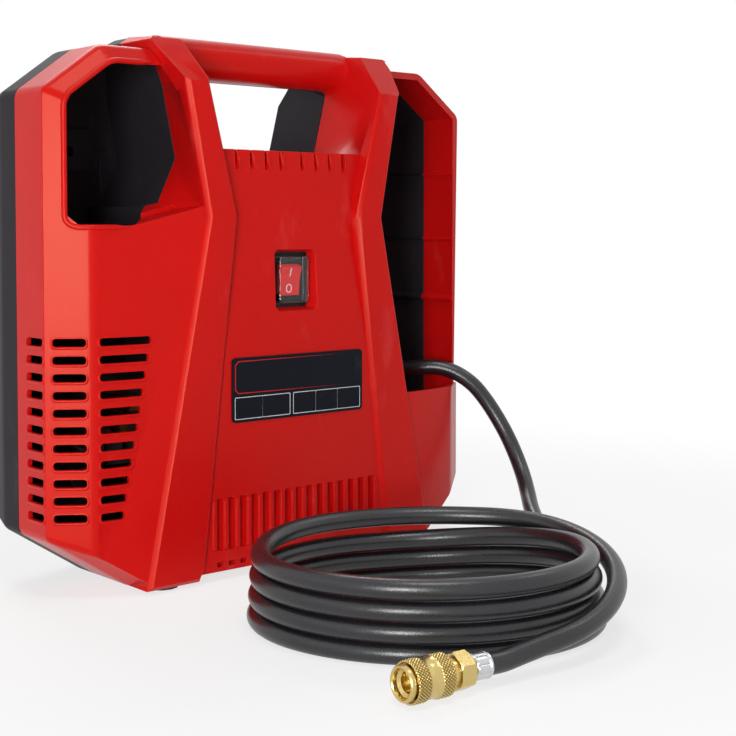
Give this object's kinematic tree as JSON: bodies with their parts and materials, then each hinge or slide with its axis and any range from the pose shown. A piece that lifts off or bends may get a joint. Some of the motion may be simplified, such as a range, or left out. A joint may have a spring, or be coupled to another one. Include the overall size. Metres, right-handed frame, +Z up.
{
  "type": "portable air compressor",
  "caption": "Upright portable oil-free air compressor with a carrying handle, two storage bays, a rocker switch and a coiled air hose ending in a quick coupler.",
  "frame": {"origin": "on the floor under the middle of the housing", "axes": "+Z up, front of the housing towards -Y, +X to the right seen from the front"},
  "size_m": [0.3718, 0.3842, 0.3524],
  "materials": {
    "red_plastic": "fine moulded texture, satin",
    "charcoal_plastic": "fine moulded texture, satin",
    "black_plastic": "satin",
    "nameplate_film": "semi-gloss film",
    "clear_plastic": "clear, polished",
    "rubber": "satin",
    "steel": "plated",
    "lamination_steel": "dark",
    "aluminium": "as cast",
    "copper": "enamelled winding or plain copper",
    "brass": "machined",
    "carbon": "matt",
    "polymer": "natural, satin"
  },
  "bodies": {
    "housing": {"front_shell": "red_plastic", "rear_shell": "charcoal_plastic", "nameplate": "nameplate_film", "switch_housing": "black_plastic", "switch_cover": "clear_plastic", "mains_cable_bush": "rubber", "pump_frame": "aluminium", "crank_bearing_outer": "steel", "crank_bearing_inner": "steel", "cylinder": "aluminium", "valve_plate": "steel", "inlet_reed": "steel", "outlet_reed": "steel", "cylinder_head": "aluminium", "motor_stator": "lamination_steel", "field_coil_upper": "copper", "field_coil_lower": "copper", "brush_bracket": "charcoal_plastic", "brush_front": "carbon", "brush_rear": "carbon", "motor_bearing_left": "steel", "motor_bearing_right": "steel", "outlet_pipe": "copper", "outlet_fitting": "brass", "hose_bush": "rubber", "relief_valve_body": "brass", "hose_lead": "rubber", "hose_coil": "rubber", "hose_ferrule": "steel", "coupler_body": "brass", "foot_front_left": "rubber", "head_bolt_front_left": "steel", "foot_front_right": "rubber", "head_bolt_front_right": "steel", "foot_rear_left": "rubber", "head_bolt_rear_left": "steel", "foot_rear_right": "rubber", "head_bolt_rear_right": "steel", "housing_screw_side_left": "steel", "housing_screw_side_right": "steel", "housing_screw_upper_left": "steel", "housing_screw_upper_right": "steel"},
    "crank": {"crankshaft": "steel", "crank_gear": "polymer"},
    "motor": {"motor_shaft": "steel", "armature_core": "lamination_steel", "armature_winding": "copper", "commutator": "copper", "pinion": "steel", "cooling_fan": "black_plastic"},
    "piston": {"piston": "aluminium", "piston_ring": "polymer", "gudgeon_pin": "steel"},
    "rod": {"connecting_rod": "aluminium", "big_end_bearing": "steel", "crank_pin": "steel"},
    "rocker": {"switch_rocker": "red_plastic"},
    "sleeve": {"coupler_sleeve": "brass"},
    "valve": {"coupler_valve": "brass"},
    "relief": {"relief_valve_pin": "steel"}
  },
  "joints": [
    {"name": "motor_spin", "type": "hinge", "parent": "housing", "child": "motor", "pos_m": [0, 0.006, 0.08875], "axis": [1, 0, 0], "continuous": true},
    {"name": "crank_spin", "type": "hinge", "parent": "housing", "child": "crank", "pos_m": [0, 0.006, 0.13], "axis": [1, 0, 0], "continuous": true},
    {"name": "piston_stroke", "type": "slide", "parent": "housing", "child": "piston", "axis": [0, 0, 1], "range_m": [-0.02, 0]},
    {"name": "rod_swing", "type": "hinge", "parent": "piston", "child": "rod", "pos_m": [0, 0.006, 0.204], "axis": [1, 0, 0], "range_deg": [-9, 9]},
    {"name": "switch_toggle", "type": "hinge", "parent": "housing", "child": "rocker", "pos_m": [0, -0.04006, 0.1923], "axis": [1, 0, 0], "range_deg": [-20, 0]},
    {"name": "sleeve_release", "type": "slide", "parent": "housing", "child": "sleeve", "axis": [0.9949, -0.1008, 0], "range_m": [0, 0.003], "stiffness_N_per_m": 500},
    {"name": "coupler_valve_push", "type": "slide", "parent": "housing", "child": "valve", "axis": [0.9949, -0.1008, 0], "range_m": [0, 0.003], "stiffness_N_per_m": 300},
    {"name": "relief_lift", "type": "slide", "parent": "housing", "child": "relief", "axis": [0, 1, 0], "range_m": [0, 0.0015], "stiffness_N_per_m": 400}
  ],
  "couplings": [
    {"joint": "crank_spin", "follows": "motor_spin", "ratio": -0.22222}
  ]
}
